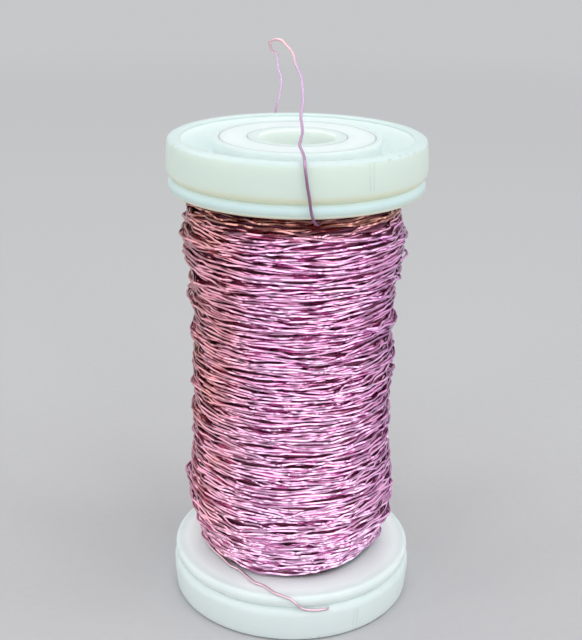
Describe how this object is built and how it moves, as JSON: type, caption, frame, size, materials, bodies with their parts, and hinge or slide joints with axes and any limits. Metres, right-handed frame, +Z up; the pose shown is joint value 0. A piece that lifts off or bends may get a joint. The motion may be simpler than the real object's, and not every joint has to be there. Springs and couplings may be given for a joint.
{
  "type": "spool of craft wire",
  "caption": "Small cup-flanged plastic spool on a hollow spindle tube, wound full of thin crinkled pink craft wire, with its lead looped over the top and its tail laid in a groove.",
  "frame": {"origin": "centre of the lower flange's outer face, which the spool stands on", "axes": "+Z up along the spool's axis, from the lower flange to the upper one; the wire's lead and tail show on the -Y side"},
  "size_m": [0.03, 0.0308, 0.0684],
  "materials": {
    "white_plastic": "natural translucent white, satin",
    "ivory_plastic": "natural translucent ivory, satin",
    "pink_wire": "enamelled metallic pink, glossy",
    "shaded_wire": "the same wire, seen in the gaps of the winding"
  },
  "bodies": {
    "root": {"lower_flange": "white_plastic", "upper_flange": "white_plastic", "lower_hub_plate": "white_plastic", "upper_hub_plate": "white_plastic", "barrel": "ivory_plastic", "spindle_tube": "ivory_plastic", "winding_core": "shaded_wire", "winding_outer_layer": "pink_wire", "wire_lead": "pink_wire", "wire_tail": "pink_wire"}
  },
  "joints": []
}
